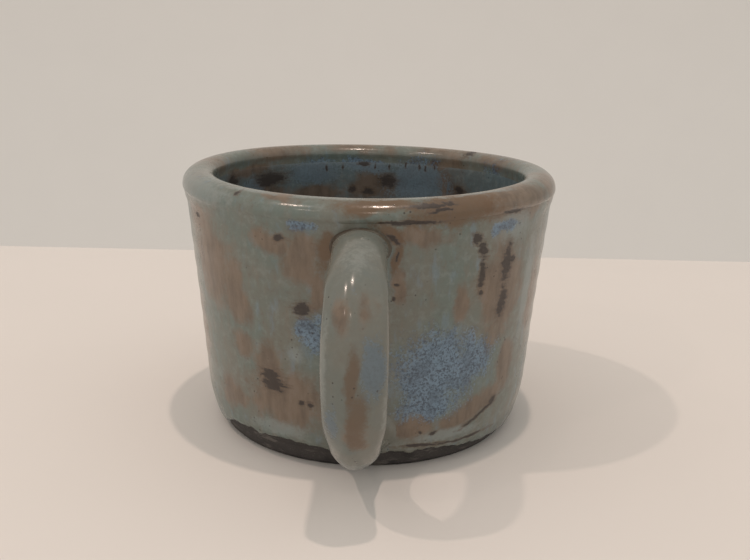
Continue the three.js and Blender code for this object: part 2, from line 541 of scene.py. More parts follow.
class NodeSheet:
    """Lays out one material's nodes, in the order in which they are used."""

    def __init__(self, name: str) -> None:
        """Makes a material with nothing but an output.

        Args:
            name: Name of the material.
        """
        self.material = bpy.data.materials.new(name)
        self.material.use_nodes = True
        self.tree = self.material.node_tree
        self.tree.nodes.clear()
        self.output = self.tree.nodes.new("ShaderNodeOutputMaterial")
        self.place = self.put("ShaderNodeTexCoord").outputs["Object"]

    def put(self, kind: str, **settings: object) -> bpy.types.Node:
        """Adds a node.

        Args:
            kind: Its type.
            **settings: Its properties.

        Returns:
            The node.
        """
        node = self.tree.nodes.new(kind)
        for name, value in settings.items():
            setattr(node, name, value)
        return node

    def feed(self, socket: Socket, value: object) -> None:
        """Links a socket to another, or sets its number.

        Args:
            socket: The socket that takes the value.
            value: A socket, a number, a colour or a vector.
        """
        if isinstance(value, Socket):
            self.tree.links.new(value, socket)
        else:
            socket.default_value = value

    def sum(self, operation: str, *values: object, clamp: bool = False) -> Socket:
        """Adds a Math node.

        Args:
            operation: What it works out.
            *values: Its inputs.
            clamp: Whether the result is held between 0 and 1.

        Returns:
            The result.
        """
        node = self.put("ShaderNodeMath", operation=operation, use_clamp=clamp)
        for socket, value in zip(node.inputs, values):
            self.feed(socket, value)
        return node.outputs[0]

    def vector_sum(self, operation: str, *values: object) -> bpy.types.Node:
        """Adds a Vector Math node.

        Args:
            operation: What it works out.
            *values: Its inputs.

        Returns:
            The node.
        """
        node = self.put("ShaderNodeVectorMath", operation=operation)
        for socket, value in zip(node.inputs, values):
            self.feed(socket, value)
        return node

    def grain(self, grain: Grain) -> Socket:
        """Adds a noise on the object's own coordinates.

        Args:
            grain: What the noise is like.

        Returns:
            The noise.
        """
        place = self.stretched(grain.squeeze) if grain.squeeze else self.place
        node = self.put("ShaderNodeTexNoise")
        self.feed(node.inputs["Vector"], place)
        node.inputs["Scale"].default_value = 1 / (grain.size * MM)
        node.inputs["Detail"].default_value = grain.detail
        node.inputs["Roughness"].default_value = grain.rough
        return node.outputs["Fac"]

    def wobbled(self, size: float, reach: float) -> Socket:
        """Returns the object's coordinates pushed about by noise.

        Args:
            size: Size of the pushes' lumps, in millimetres.
            reach: Greatest push, in millimetres.

        Returns:
            The pushed coordinates.
        """
        node = self.put("ShaderNodeTexNoise")
        self.feed(node.inputs["Vector"], self.place)
        node.inputs["Scale"].default_value = 1 / (size * MM)
        node.inputs["Detail"].default_value = 2.0
        centred = self.vector_sum("SUBTRACT", node.outputs["Color"], (0.5, 0.5, 0.5)).outputs[0]
        scaled = self.put("ShaderNodeVectorMath", operation="SCALE")
        self.feed(scaled.inputs[0], centred)
        scaled.inputs["Scale"].default_value = 2 * reach * MM
        return self.vector_sum("ADD", self.place, scaled.outputs[0]).outputs[0]

    def stretched(self, scale: tuple[float, float, float]) -> Socket:
        """Scales the object's coordinates.

        Args:
            scale: How much, along X, Y and Z.

        Returns:
            The scaled coordinates.
        """
        node = self.put("ShaderNodeMapping")
        self.feed(node.inputs["Vector"], self.place)
        node.inputs["Scale"].default_value = scale
        return node.outputs[0]

    def stepped(self, value: Socket, low: float, high: float) -> Socket:
        """Adds a smooth step.

        Args:
            value: What it follows.
            low: Where it is 0.
            high: Where it is 1, which may be below low.

        Returns:
            The step, from 0 to 1.
        """
        node = self.put("ShaderNodeMapRange", interpolation_type="SMOOTHSTEP")
        self.feed(node.inputs["Value"], value)
        node.inputs["From Min"].default_value = low
        node.inputs["From Max"].default_value = high
        return node.outputs["Result"]

    def ranged(self, value: Socket, low: float, high: float) -> Socket:
        """Stretches a value that runs from 0 to 1.

        Args:
            value: The value.
            low: What 0 becomes.
            high: What 1 becomes.

        Returns:
            The stretched value.
        """
        node = self.put("ShaderNodeMapRange")
        self.feed(node.inputs["Value"], value)
        node.inputs["To Min"].default_value = low
        node.inputs["To Max"].default_value = high
        return node.outputs["Result"]

    def mixed(self, share: object, first: object, second: object) -> Socket:
        """Mixes two colours.

        Args:
            share: How much of the second there is.
            first: The first colour.
            second: The second colour.

        Returns:
            The mixed colour.
        """
        node = self.put("ShaderNodeMix", data_type="RGBA")
        self.feed(node.inputs["Factor"], share)
        for name, value in (("A", first), ("B", second)):
            socket = next(s for s in node.inputs if s.name == name and s.type == "RGBA")
            self.feed(socket, (*value, 1.0) if isinstance(value, tuple) else value)
        return next(s for s in node.outputs if s.type == "RGBA")

    def bloom_field(self, blooms: Sequence[Bloom], place: Socket) -> Socket:
        """Returns 1 at the centre of each bloom, 0 at its edge and -1 well outside it.

        Args:
            blooms: The blooms of one kind.
            place: Coordinates in which they are looked for.

        Returns:
            The value of the strongest bloom at each place.
        """
        strongest: Socket | None = None
        for bloom in blooms:
            turn = math.radians(bloom.around)
            reach = bloom.radius() * MM
            node = self.put("ShaderNodeMapping", vector_type="TEXTURE")
            self.feed(node.inputs["Vector"], place)
            node.inputs["Location"].default_value = (
                reach * math.sin(turn),
                -reach * math.cos(turn),
                bloom.height * MM,
            )
            node.inputs["Rotation"].default_value = (0.0, math.radians(-bloom.lean), turn)
            node.inputs["Scale"].default_value = tuple(
                2 * size * MM for size in (bloom.wide, bloom.deep, bloom.tall)
            )
            ball = self.put("ShaderNodeTexGradient", gradient_type="SPHERICAL")
            self.feed(ball.inputs["Vector"], node.outputs[0])
            glow = ball.outputs["Fac"]
            strongest = glow if strongest is None else self.sum("MAXIMUM", strongest, glow)
        return self.sum("MULTIPLY_ADD", strongest, 2.0, -1.0)

    def bump(self, height: Socket, depth: float, under: Socket | None = None) -> Socket:
        """Returns a normal raised by a height.

        Args:
            height: The height, where 1 is one depth.
            depth: How far 1 stands out, in millimetres.
            under: The normal that it adds to, or None.

        Returns:
            The raised normal.
        """
        node = self.put("ShaderNodeBump")
        self.feed(node.inputs["Height"], height)
        node.inputs["Distance"].default_value = depth * MM
        if under is not None:
            self.feed(node.inputs["Normal"], under)
        return node.outputs["Normal"]


@dataclass(frozen=True)
class Edge:
    """How one kind of bloom shows, and how its edge breaks up.

    Attributes:
        low: Strength at which the bloom begins to show.
        high: Strength at which it covers.
        ragged: How far runs and dashes push the edge in and out.
        stipple: How far fine specks do.
        cover: How much of the glaze under it it hides at most.
        dull: How much rougher than the ground it is.
    """

    low: float
    high: float
    ragged: float
    stipple: float
    cover: float
    dull: float = 0.0


EDGES = {
    RUST: Edge(-0.36, 0.42, 0.75, 0.2, cover=0.85),
    AMBER: Edge(-0.4, 0.4, 0.7, 0.3, cover=0.85),
    MILK: Edge(-0.1, 0.6, 0.6, 0.4, cover=0.6),
    BLUE: Edge(-0.3, 0.35, 0.7, 0.7, cover=0.8, dull=0.14),
    IRON: Edge(-0.1, 0.22, 1.1, 0.5, cover=0.85, dull=0.2),
}

# The noises in the glazes, and the steps that are cut from them as (where it is 0, where it is 1).
CLOUDS, CLOUD_STEP = Grain(15, 3, 0.55), (0.36, 0.62)
MOTTLE, PALE_MOTTLE, DARK_MOTTLE = Grain(2.2, 4, 0.65), (0.48, 0.7), (0.45, 0.28)
RUNS, RUSTY_RUNS, BLUE_RUNS = Grain(2.6, 4, 0.6, (1.0, 1.0, 0.28)), (0.52, 0.7), (0.46, 0.3)
DEEP_RUNS = (0.34, 0.74)
DRIFT, THIN_CRYSTALS = Grain(5, 4, 0.6), (0.45, 0.62)
DASHES = Grain(1.7, 3, 0.65, (0.45, 0.45, 2.2))
FLECKS = Grain(0.7, 2, 0.6)
CRYSTALS, CRYSTAL_STEP = Grain(0.66, 4, 0.75), (0.36, 0.58)
WAVES, PEEL = Grain(7, 2, 0.45), Grain(1.1, 2, 0.5)
CLUSTERS, CLUSTER_STEP = Grain(11, 2, 0.5), (0.5, 0.66)
PINHOLE_PITCH, PINHOLE_STEP = 1.9, (0.17, 0.07)
IRON_HALO, HALO_COVER = (-0.8, 0.0), 0.6


@dataclass(frozen=True)
class GlazeFinish:
    """A satin glaze that breaks to rust, iron and blue.

    Attributes:
        name: Name of the material.
        ground: Main colour of the glaze.
        shade: Second colour of the ground, in soft clouds.
        blooms: Its marks.
        rust: Colour of thin, rusty glaze.
        rust_deep: Its darker tone.
        amber: Colour of the golden-brown glaze where it breaks over the lip.
        iron: Colour of iron spots.
        blue: Colour of the crystals.
        blue_deep: Colour of the specks between them.
        milk: Colour of thick, milky glaze.
        gloss: Roughness of the ground.
        mottle: Strength of the fine mottling of the ground.
        streaks: Strength of the downward streaks in the ground.
        wobble: How far the edges of the larger blooms wander, in millimetres.
        wave: Depth of the slow waves in its surface, in millimetres.
        peel: Depth of the fine orange peel in its surface, in millimetres.
        gloss_span: How far its roughness falls below and rises above the ground's.
        thinning: How much the specks take over where the crystals are thin.
        pinhole: How much a pinhole hides of the glaze.
        pinhole_depth: Depth of a pinhole, in millimetres.
        bending: Index of refraction.
    """

    name: str
    ground: Colour
    shade: Colour
    blooms: tuple[Bloom, ...]
    rust: Colour = (0.2, 0.142, 0.1)
    rust_deep: Colour = (0.118, 0.083, 0.06)
    amber: Colour = (0.132, 0.074, 0.036)
    iron: Colour = (0.026, 0.019, 0.017)
    blue: Colour = (0.172, 0.268, 0.375)
    blue_deep: Colour = (0.03, 0.05, 0.092)
    milk: Colour = (0.25, 0.285, 0.28)
    gloss: float = 0.2
    mottle: float = 0.3
    streaks: float = 0.25
    wobble: float = 2.8
    wave: float = 0.16
    peel: float = 0.03
    gloss_span: tuple[float, float] = (0.05, 0.09)
    thinning: float = 0.4
    pinhole: float = 0.8
    pinhole_depth: float = 0.05
    bending: float = 1.52

    def material(self) -> bpy.types.Material:
        """Lays out the glaze.

        Returns:
            The material.
        """
        sheet = NodeSheet(self.name)
        mottle, runs, drift = sheet.grain(MOTTLE), sheet.grain(RUNS), sheet.grain(DRIFT)
        colour = self.ground_colour(sheet, mottle, runs)
        strengths = self.strengths(sheet, runs, drift)
        bite = self.bitten(sheet)
        below, over = self.gloss_span
        rough = sheet.ranged(mottle, self.gloss - below, self.gloss + over)
        for kind, strength in strengths.items():
            edge = EDGES[kind]
            mask = sheet.stepped(strength, edge.low, edge.high)
            if kind is IRON:
                halo = sheet.stepped(strength, *IRON_HALO)
                colour = sheet.mixed(sheet.sum("MULTIPLY", halo, HALO_COVER), colour, self.rust_deep)
            share = sheet.sum("MULTIPLY", mask, edge.cover)
            colour = sheet.mixed(share, colour, self.bloom_colour(kind, sheet, runs, drift))
            if edge.dull > 0:
                rough = sheet.sum("ADD", rough, sheet.sum("MULTIPLY", mask, edge.dull))
        colour = sheet.mixed(bite, colour, self.iron)

        waves = sheet.bump(sheet.grain(WAVES), self.wave)
        peel = sheet.bump(sheet.grain(PEEL), self.peel, waves)
        pits = sheet.bump(sheet.sum("SUBTRACT", 1.0, bite), self.pinhole_depth, peel)
        shader = sheet.put("ShaderNodeBsdfPrincipled")
        sheet.feed(shader.inputs["Base Color"], colour)
        sheet.feed(shader.inputs["Roughness"], rough)
        sheet.feed(shader.inputs["Normal"], pits)
        shader.inputs["IOR"].default_value = self.bending
        sheet.feed(sheet.output.inputs["Surface"], shader.outputs[0])
        return sheet.material

    def ground_colour(self, sheet: NodeSheet, mottle: Socket, runs: Socket) -> Socket:
        """Mixes the colour of the glaze between its blooms.

        Args:
            sheet: The material's nodes.
            mottle: The fine mottling.
            runs: The noise that is drawn out downwards.

        Returns:
            The colour.
        """
        colour = sheet.mixed(sheet.stepped(sheet.grain(CLOUDS), *CLOUD_STEP), self.ground, self.shade)
        layers = (
            (mottle, PALE_MOTTLE, self.mottle, self.milk),
            (mottle, DARK_MOTTLE, self.mottle, self.rust_deep),
            (runs, RUSTY_RUNS, self.streaks, self.rust),
            (runs, BLUE_RUNS, self.streaks, self.blue),
        )
        for noise_of, step, strength, tint in layers:
            colour = sheet.mixed(sheet.ranged(sheet.stepped(noise_of, *step), 0, strength), colour, tint)
        return colour

    def strengths(self, sheet: NodeSheet, runs: Socket, drift: Socket) -> dict[Kind, Socket]:
        """Works out how strong each kind of bloom is, with its broken edge.

        Args:
            sheet: The material's nodes.
            runs: The noise that is drawn out downwards.
            drift: The slow noise.

        Returns:
            The strength of each kind that the glaze has, in the order in which they cover each other.
        """
        dashes, flecks = sheet.grain(DASHES), sheet.grain(FLECKS)
        fine, coarse = sheet.wobbled(size=1.8, reach=0.6), sheet.wobbled(size=8, reach=self.wobble)
        readings = {RUST: coarse, AMBER: coarse, MILK: fine, BLUE: coarse, IRON: fine}
        wanders = {RUST: drift, AMBER: drift, MILK: runs, BLUE: runs, IRON: dashes}
        found: dict[Kind, Socket] = {}
        for kind, edge in EDGES.items():
            own = [bloom for bloom in self.blooms if bloom.kind is kind]
            if not own:
                continue
            near = sheet.bloom_field(own, readings[kind])
            wander = sheet.ranged(wanders[kind], -edge.ragged, edge.ragged)
            stipple = sheet.ranged(flecks, -edge.stipple, edge.stipple)
            found[kind] = sheet.sum("ADD", sheet.sum("ADD", near, wander), stipple)
        return found

    def bloom_colour(self, kind: Kind, sheet: NodeSheet, runs: Socket, drift: Socket) -> Socket | Colour:
        """Mixes the colour of one kind of bloom.

        Args:
            kind: The kind.
            sheet: The material's nodes.
            runs: The noise that is drawn out downwards.
            drift: The slow noise.

        Returns:
            A plain colour, or one that is mixed by noise.
        """
        if kind is RUST:
            return sheet.mixed(sheet.stepped(runs, *DEEP_RUNS), self.rust, self.rust_deep)
        if kind is BLUE:
            crystals = sheet.stepped(sheet.grain(CRYSTALS), *CRYSTAL_STEP)
            thin = sheet.ranged(sheet.stepped(drift, *THIN_CRYSTALS), 0, self.thinning)
            return sheet.mixed(thin, sheet.mixed(crystals, self.blue_deep, self.blue), self.blue_deep)
        return {AMBER: self.amber, MILK: self.milk, IRON: self.iron}[kind]

    def bitten(self, sheet: NodeSheet) -> Socket:
        """Strews fine dark pinholes over the whole glaze.

        Args:
            sheet: The material's nodes.

        Returns:
            Their mask.
        """
        cells = sheet.put("ShaderNodeTexVoronoi", feature="F1")
        sheet.feed(cells.inputs["Vector"], sheet.wobbled(size=2.0, reach=0.25))
        cells.inputs["Scale"].default_value = 1 / (PINHOLE_PITCH * MM)
        near = sheet.stepped(cells.outputs["Distance"], *PINHOLE_STEP)
        where = sheet.stepped(sheet.grain(CLUSTERS), *CLUSTER_STEP)
        return sheet.sum("MULTIPLY", near, sheet.sum("MULTIPLY", where, self.pinhole))


@dataclass(frozen=True)
class ClayFinish:
    """Bare, dark, iron-washed clay with turning lines.

    Attributes:
        name: Name of the material.
        body: Main colour.
        burnt: Colour of the darker, iron-rich stains.
        dust: Colour of the lighter scuffs.
        stains: Noise of the stains, which a step cuts.
        grog: Noise of the fine grit, which a step cuts.
        scuffs: Noise of the scuffs, which a step cuts.
        lines: Noise of the turning lines.
        tooth: Noise of the clay's fine grain.
        stain_step: Where there is a stain, and where there is none.
        grog_step: Where the grit begins, and where it covers.
        scuff_step: Where a scuff begins, and where it covers.
        grog_cover: How much the grit hides of the clay.
        scuff_cover: How much a scuff does.
        line_depth: Depth of the turning lines, in millimetres.
        tooth_depth: Depth of the fine grain.
        roughness: Roughness of the stains and of the clay between them.
    """

    name: str
    body: Colour = (0.054, 0.048, 0.046)
    burnt: Colour = (0.022, 0.019, 0.018)
    dust: Colour = (0.2, 0.18, 0.16)
    stains: Grain = Grain(6, 4, 0.6)
    grog: Grain = Grain(0.5, 2, 0.6)
    scuffs: Grain = Grain(3.6, 5, 0.7, (0.35, 0.35, 1.5))
    lines: Grain = Grain(0.55, 3, 0.6, (0.04, 0.04, 1.0))
    tooth: Grain = Grain(0.45, 3, 0.65)
    stain_step: tuple[float, float] = (0.35, 0.62)
    grog_step: tuple[float, float] = (0.6, 0.72)
    scuff_step: tuple[float, float] = (0.54, 0.66)
    grog_cover: float = 0.35
    scuff_cover: float = 0.45
    line_depth: float = 0.12
    tooth_depth: float = 0.08
    roughness: tuple[float, float] = (0.62, 0.85)

    def material(self) -> bpy.types.Material:
        """Lays out the clay.

        Returns:
            The material.
        """
        sheet = NodeSheet(self.name)
        stain = sheet.stepped(sheet.grain(self.stains), *self.stain_step)
        colour = sheet.mixed(stain, self.burnt, self.body)
        grog = sheet.stepped(sheet.grain(self.grog), *self.grog_step)
        scuff = sheet.stepped(sheet.grain(self.scuffs), *self.scuff_step)
        colour = sheet.mixed(sheet.sum("MULTIPLY", scuff, self.scuff_cover), colour, self.dust)
        colour = sheet.mixed(sheet.sum("MULTIPLY", grog, self.grog_cover), colour, self.dust)
        coarse = sheet.bump(sheet.grain(self.tooth), self.tooth_depth)
        turned = sheet.bump(sheet.grain(self.lines), self.line_depth, coarse)
        shader = sheet.put("ShaderNodeBsdfPrincipled")
        sheet.feed(shader.inputs["Base Color"], colour)
        sheet.feed(shader.inputs["Roughness"], sheet.ranged(stain, *self.roughness))
        sheet.feed(shader.inputs["Normal"], turned)
        sheet.feed(sheet.output.inputs["Surface"], shader.outputs[0])
        return sheet.material


@dataclass(frozen=True)
class PlainFinish:
    """An even, matt surface for the table and the wall behind it.

    Attributes:
        name: Name of the material.
        colour: Its colour.
        roughness: Its roughness.
        shine: Strength of its reflections.
        clouds: Noise of its faint clouds.
        cloud: How bright the clouds are, as a share of the colour.
        glow: Painted light: light that it gives off itself at the level of the table, standing in for lamp
            light on a wall that is lit from below.
        glow_colour: Colour of that light.
        glow_span: Heights at which the glow is weakest and strongest, in metres.
        glow_range: Its weakest and its strongest, as shares of the glow.
    """

    name: str
    colour: Colour
    roughness: float = 0.75
    shine: float = 0.25
    clouds: Grain = Grain(60, 2, 0.5)
    cloud: float = 0.97
    glow: float = 0.0
    glow_colour: Colour = (1.0, 0.9, 0.83)
    glow_span: tuple[float, float] = (0.35, -0.45)
    glow_range: tuple[float, float] = (0.5, 1.5)

    def material(self) -> bpy.types.Material:
        """Lays out the surface, with the faintest of clouds.

        Returns:
            The material.
        """
        sheet = NodeSheet(self.name)
        darker = tuple(part * self.cloud for part in self.colour)
        shader = sheet.put("ShaderNodeBsdfPrincipled")
        sheet.feed(shader.inputs["Base Color"], sheet.mixed(sheet.grain(self.clouds), self.colour, darker))
        shader.inputs["Roughness"].default_value = self.roughness
        shader.inputs["Specular IOR Level"].default_value = self.shine
        # Painted light: the surface glows by itself, more strongly lower down.
        if self.glow > 0:
            height = sheet.put("ShaderNodeSeparateXYZ")
            sheet.feed(height.inputs[0], sheet.place)
            low = sheet.stepped(height.outputs["Z"], *self.glow_span)
            weak, strong = (self.glow * share for share in self.glow_range)
            sheet.feed(shader.inputs["Emission Color"], (*self.glow_colour, 1.0))
            sheet.feed(shader.inputs["Emission Strength"], sheet.ranged(low, weak, strong))
        sheet.feed(sheet.output.inputs["Surface"], shader.outputs[0])
        return sheet.material


# ---------------------------------------------------------------------------------------------------------
# The thrown body
# ---------------------------------------------------------------------------------------------------------


@dataclass
class ThrownBody:
    """The clay of the pot: floor, foot, wall and lip.

    Attributes:
        pot: Outlines of the pot.
        hand: What the potter's hands leave on it.
        fine_steps: Stretches round the parts that show.
        hidden_steps: Stretches round the parts that a coat covers.
        finish: The bare clay.
    """

    pot: PotShape = POT
    hand: ThrowingHand = HAND
    fine_steps: int = 240
    hidden_steps: int = 96
    finish: ClayFinish = ClayFinish("bare_clay")

    def build(self) -> None:
        """Builds and dresses the four pieces."""
        clay = self.finish.material()
        makers = {
            "floor_slab": self.floor,
            "foot_band": self.foot,
            "thrown_wall": self.wall,
            "rolled_lip": self.lip,
        }
        for node, make in makers.items():
            piece = finished_object(f"{node}_clay", make(), self.hand.shaped)
            piece.data.materials.append(clay)
            hang(piece, [node])

    def floor(self) -> bmesh.types.BMesh:
        """Turns the floor slab.

        Returns:
            Its mesh.
        """
        edge, top = self.pot.corner_radius, self.pot.floor_thickness
        rim = [edge * share for share in (0.25, 0.5, 0.75)]
        under = [(radius, 0.0) for radius in rim]
        over = [(radius, top) for radius in reversed(rim)]
        outline = [(0.0, 0.0), *under, (edge, 0.0), (edge, top), *over, (0.0, top)]
        return turned_mesh(outline, self.hidden_steps)

    def foot(self) -> bmesh.types.BMesh:
        """Turns the foot, with a soft lower edge.

        Returns:
            Its mesh.
        """
        pot = self.pot
        edge_steps = 4
        edge = []
        for step in range(edge_steps + 1):
            angle = math.radians(90 * step / edge_steps)
            edge.append((
                pot.foot_radius - pot.foot_chamfer * (1 - math.sin(angle)),
                pot.foot_chamfer * (1 - math.cos(angle)),
            ))
        side = pot.outside(pot.foot_chamfer * 1.5, pot.floor_thickness, coat=0.0, steps=10)
        inner = pot.corner_radius
        return turned_mesh([(inner, 0.0), *edge, *side, (inner, pot.floor_thickness)], self.fine_steps)

    def wall(self) -> bmesh.types.BMesh:
        """Turns the wall.

        Returns:
            Its mesh.
        """
        pot = self.pot
        out = pot.outside(pot.floor_thickness, pot.wall_top, coat=0.0, steps=40)
        return turned_mesh([*out, *reversed(pot.inside(coat=0.0, steps=24))], self.fine_steps)

    def lip(self) -> bmesh.types.BMesh:
        """Returns the lip roll's mesh."""
        return turned_mesh(self.pot.lip(coat=0.0, steps=16), self.hidden_steps)


# ---------------------------------------------------------------------------------------------------------
# The coats of glaze
# ---------------------------------------------------------------------------------------------------------


@dataclass(frozen=True)
class GlazeLine:
    """The ragged edge where the outside coat stops above the foot.

    Attributes:
        height: Height at which the edge is first drawn, in millimetres.
        marks: Degrees round the pot from the handle, towards +X, and the edge's height there.
        nibble: How far it rises and falls in short bites.
        bites: How quickly each layer of bites changes round the pot, and its strength.
        fade: Height above the edge at which it has no more effect.
        bead: How thick the edge swells.
        bead_rise: Height of the bead's middle above the edge.
        bead_spread: Half the bead's height.
    """

    height: float = 5.0
    marks: tuple[Point, ...] = (
        (-180, 4.4), (-130, 5.8), (-90, 3.6), (-66, 2.8), (-50, 6.4), (-26, 6.6), (-8, 5.4), (0, 5.2),
        (14, 4.9), (28, 5.2), (44, 3.6), (62, 3.0), (100, 5.2), (140, 3.8), (180, 4.4),
    )
    nibble: float = 0.95
    bites: tuple[Point, ...] = ((7.0, 1.0), (19.0, 0.7), (43.0, 0.4))
    fade: float = 8.0
    bead: float = 0.22
    bead_rise: float = 0.9
    bead_spread: float = 1.1

    def shift(self, around: float) -> float:
        """Works out how far the edge is raised.

        Args:
            around: Angle round the pot from the handle, in radians.

        Returns:
            How far it lies above the height at which it is first drawn.
        """
        degrees = math.degrees(around)
        level = self.marks[-1][1]
        for (start, low), (stop, high) in zip(self.marks, self.marks[1:]):
            if start <= degrees <= stop:
                level = low + (high - low) * eased((degrees - start) / (stop - start))
                break
        ring = Vector((math.sin(around), -math.cos(around), 0.0))
        bites = sum(strength * noise.noise(ring * pace) for pace, strength in self.bites)
        return level - self.height + self.nibble * bites


@dataclass
class GlazeCoats:
    """The three coats on the pot: outside, over the lip and inside.

    Attributes:
        pot: Outlines of the pot.
        hand: What the potter's hands leave on it.
        line: The lower edge of the outside coat.
        steps: Stretches round the pot.
        toe_share: Thickness of the outside coat at its very edge, as a share of its own.
        toe_rise: Height above the edge at which it has its full thickness.
        skin_share: Share of its thickness beyond which a point is on its outer face.
        crease_drop: Height over which the outside coat thins into the crease under the lip.
        crease_fill: How far glaze fills the crease where it ran down from the lip.
        crease_least: How much of that fill there is where the crease stays open.
        crease_open: Degrees between which the crease stays open.
        crease_inset: Degrees inside those at which it begins to close.
        crease_fade: Degrees over which it closes.
        fill_drop: How far below the wall's top the fill is thickest.
        fill_spread: Half the fill's height below and above that.
    """

    pot: PotShape = POT
    hand: ThrowingHand = HAND
    line: GlazeLine = GlazeLine()
    steps: int = 360
    toe_share: float = 0.45
    toe_rise: float = 0.4
    skin_share: float = 0.3
    crease_drop: float = 2.2
    crease_fill: float = 0.7
    crease_least: float = 0.12
    crease_open: tuple[float, float] = (0.0, 62.0)
    crease_inset: float = 14.0
    crease_fade: float = 24.0
    fill_drop: float = 0.6
    fill_spread: tuple[float, float] = (2.0, 1.2)

    def build(self) -> None:
        """Builds and dresses the three coats."""
        self.dressed("outside_glaze", self.outside(), self.outside_shift, OUTSIDE_GLAZE)
        self.dressed("lip_glaze", self.lip(), self.lip_shift, LIP_GLAZE)
        self.dressed("liner_glaze", self.liner(), self.hand.shaped, LINER_GLAZE)

    def dressed(
        self,
        node: str,
        mesh: bmesh.types.BMesh,
        shift: Callable[[Vector], Vector],
        finish: GlazeFinish,
    ) -> None:
        """Finishes one coat.

        Args:
            node: The CAD node that it replaces.
            mesh: Its mesh.
            shift: What moves each of its points.
            finish: Its glaze.
        """
        piece = finished_object(f"{node}_coat", mesh, shift)
        piece.data.materials.append(finish.material())
        hang(piece, [node])

    def outside(self) -> bmesh.types.BMesh:
        """Turns the outside coat.

        Returns:
            Its mesh.
        """
        pot = self.pot
        start, crease = self.line.height, pot.wall_top - self.crease_drop
        face = pot.outside(start + self.toe_rise, crease, coat=pot.glaze, steps=96)
        toe = [(pot.clay_radius(start) + pot.glaze * self.toe_share, start)]
        top = pot.lip(coat=pot.glaze, steps=2)[0]
        clay = pot.outside(start, pot.wall_top, coat=0.0, steps=30)
        return turned_mesh([*toe, *face, top, *reversed(clay)], self.steps)

    def outside_shift(self, place: Vector) -> Vector:
        """Moves a point of the outside coat, for the ragged edge and its bead.

        Args:
            place: The point as it is turned, in millimetres.

        Returns:
            The moved point.
        """
        pot, line = self.pot, self.line
        around = math.atan2(place.x, -place.y)
        radius = math.hypot(place.x, place.y)
        share = eased(1 - (place.z - line.height) / line.fade)
        height = place.z + line.shift(around) * share
        proud = radius - pot.clay_radius(place.z)
        if proud > pot.glaze * self.skin_share:
            off_middle = (place.z - line.height - line.bead_rise) / line.bead_spread
            proud += line.bead * math.exp(-(off_middle**2))
        scale = (pot.clay_radius(height) + proud) / radius
        return self.lip_shift(Vector((place.x * scale, place.y * scale, height)))

    def lip_shift(self, place: Vector) -> Vector:
        """Moves a point near the lip, so that the crease under it is partly filled.

        Args:
            place: The point, in millimetres.

        Returns:
            The moved point.
        """
        radius = math.hypot(place.x, place.y)
        if radius < self.pot.lip_radius:
            return self.hand.shaped(place)
        degrees = math.degrees(math.atan2(place.x, -place.y))
        start, stop = self.crease_open
        before, after = start + self.crease_inset - degrees, degrees - stop + self.crease_inset
        shut = max(eased(before / self.crease_fade), eased(after / self.crease_fade))
        share = self.crease_least + (1 - self.crease_least) * shut
        above = place.z - self.pot.wall_top + self.fill_drop
        spread = self.fill_spread[above > 0]
        scale = 1 + self.crease_fill * share * math.exp(-((above / spread) ** 2)) / radius
        return self.hand.shaped(Vector((place.x * scale, place.y * scale, place.z)))

    def lip(self) -> bmesh.types.BMesh:
        """Returns the lip coat's mesh."""
        over, under = self.pot.lip(coat=self.pot.glaze, steps=32), self.pot.lip(coat=0.0, steps=16)
        return turned_mesh([*over, *reversed(under)], self.steps)

    def liner(self) -> bmesh.types.BMesh:
        """Turns the inside coat, closed at the middle of the floor.

        Returns:
            Its mesh.
        """
        pot = self.pot
        face = pot.inside(coat=pot.glaze, steps=60)
        face[-1] = pot.lip(coat=pot.glaze, steps=2)[-1]
        rim = [pot.corner_radius * share for share in (0.06, 0.2, 0.4, 0.6, 0.8)]
        under = [(radius, pot.floor_thickness) for radius in rim]
        over = [(radius, pot.floor_thickness + pot.glaze) for radius in reversed(rim)]
        bottom, top = (0.0, pot.floor_thickness), (0.0, pot.floor_thickness + pot.glaze)
        clay = pot.inside(coat=0.0, steps=24)
        return turned_mesh([bottom, *under, *clay, *reversed(face), *over, top], self.steps)


# ---------------------------------------------------------------------------------------------------------
# The handle
# ---------------------------------------------------------------------------------------------------------


@dataclass(frozen=True)
class StrapStation:
    """One cross-section of the strap.

    Attributes:
        share: How far along the strap it lies, from 0 at the top to 1 at the root.
        width: Its width, in millimetres.
        thickness: Its thickness.
        ridge: Height of the soft ridge down its outer face.
    """

    share: float
    width: float
    thickness: float
    ridge: float


STRAP_STATIONS = (
    StrapStation(0.00, 13.4, 9.4, 0.0),
    StrapStation(0.08, 12.4, 8.8, 0.1),
    StrapStation(0.18, 12.6, 8.1, 0.4),
    StrapStation(0.30, 13.7, 7.6, 0.8),
    StrapStation(0.50, 14.4, 7.6, 0.8),
    StrapStation(0.64, 14.1, 7.8, 0.7),
    StrapStation(0.76, 12.0, 8.2, 0.6),
    StrapStation(0.86, 10.4, 8.6, 0.4),
    StrapStation(0.93, 12.0, 9.0, 0.2),
    StrapStation(1.00, 15.0, 10.4, 0.0),
)


def bezier(points: Sequence[Point], share: float) -> Vector:
    """Follows a cubic curve.

    Args:
        points: Its four points.
        share: How far along it, from 0 to 1.

    Returns:
        The place, as a two-dimensional vector.
    """
    rest = 1 - share
    weights = (rest**3, 3 * rest**2 * share, 3 * rest * share**2, share**3)
    return sum((Vector(point) * weight for point, weight in zip(points, weights)), Vector((0.0, 0.0)))


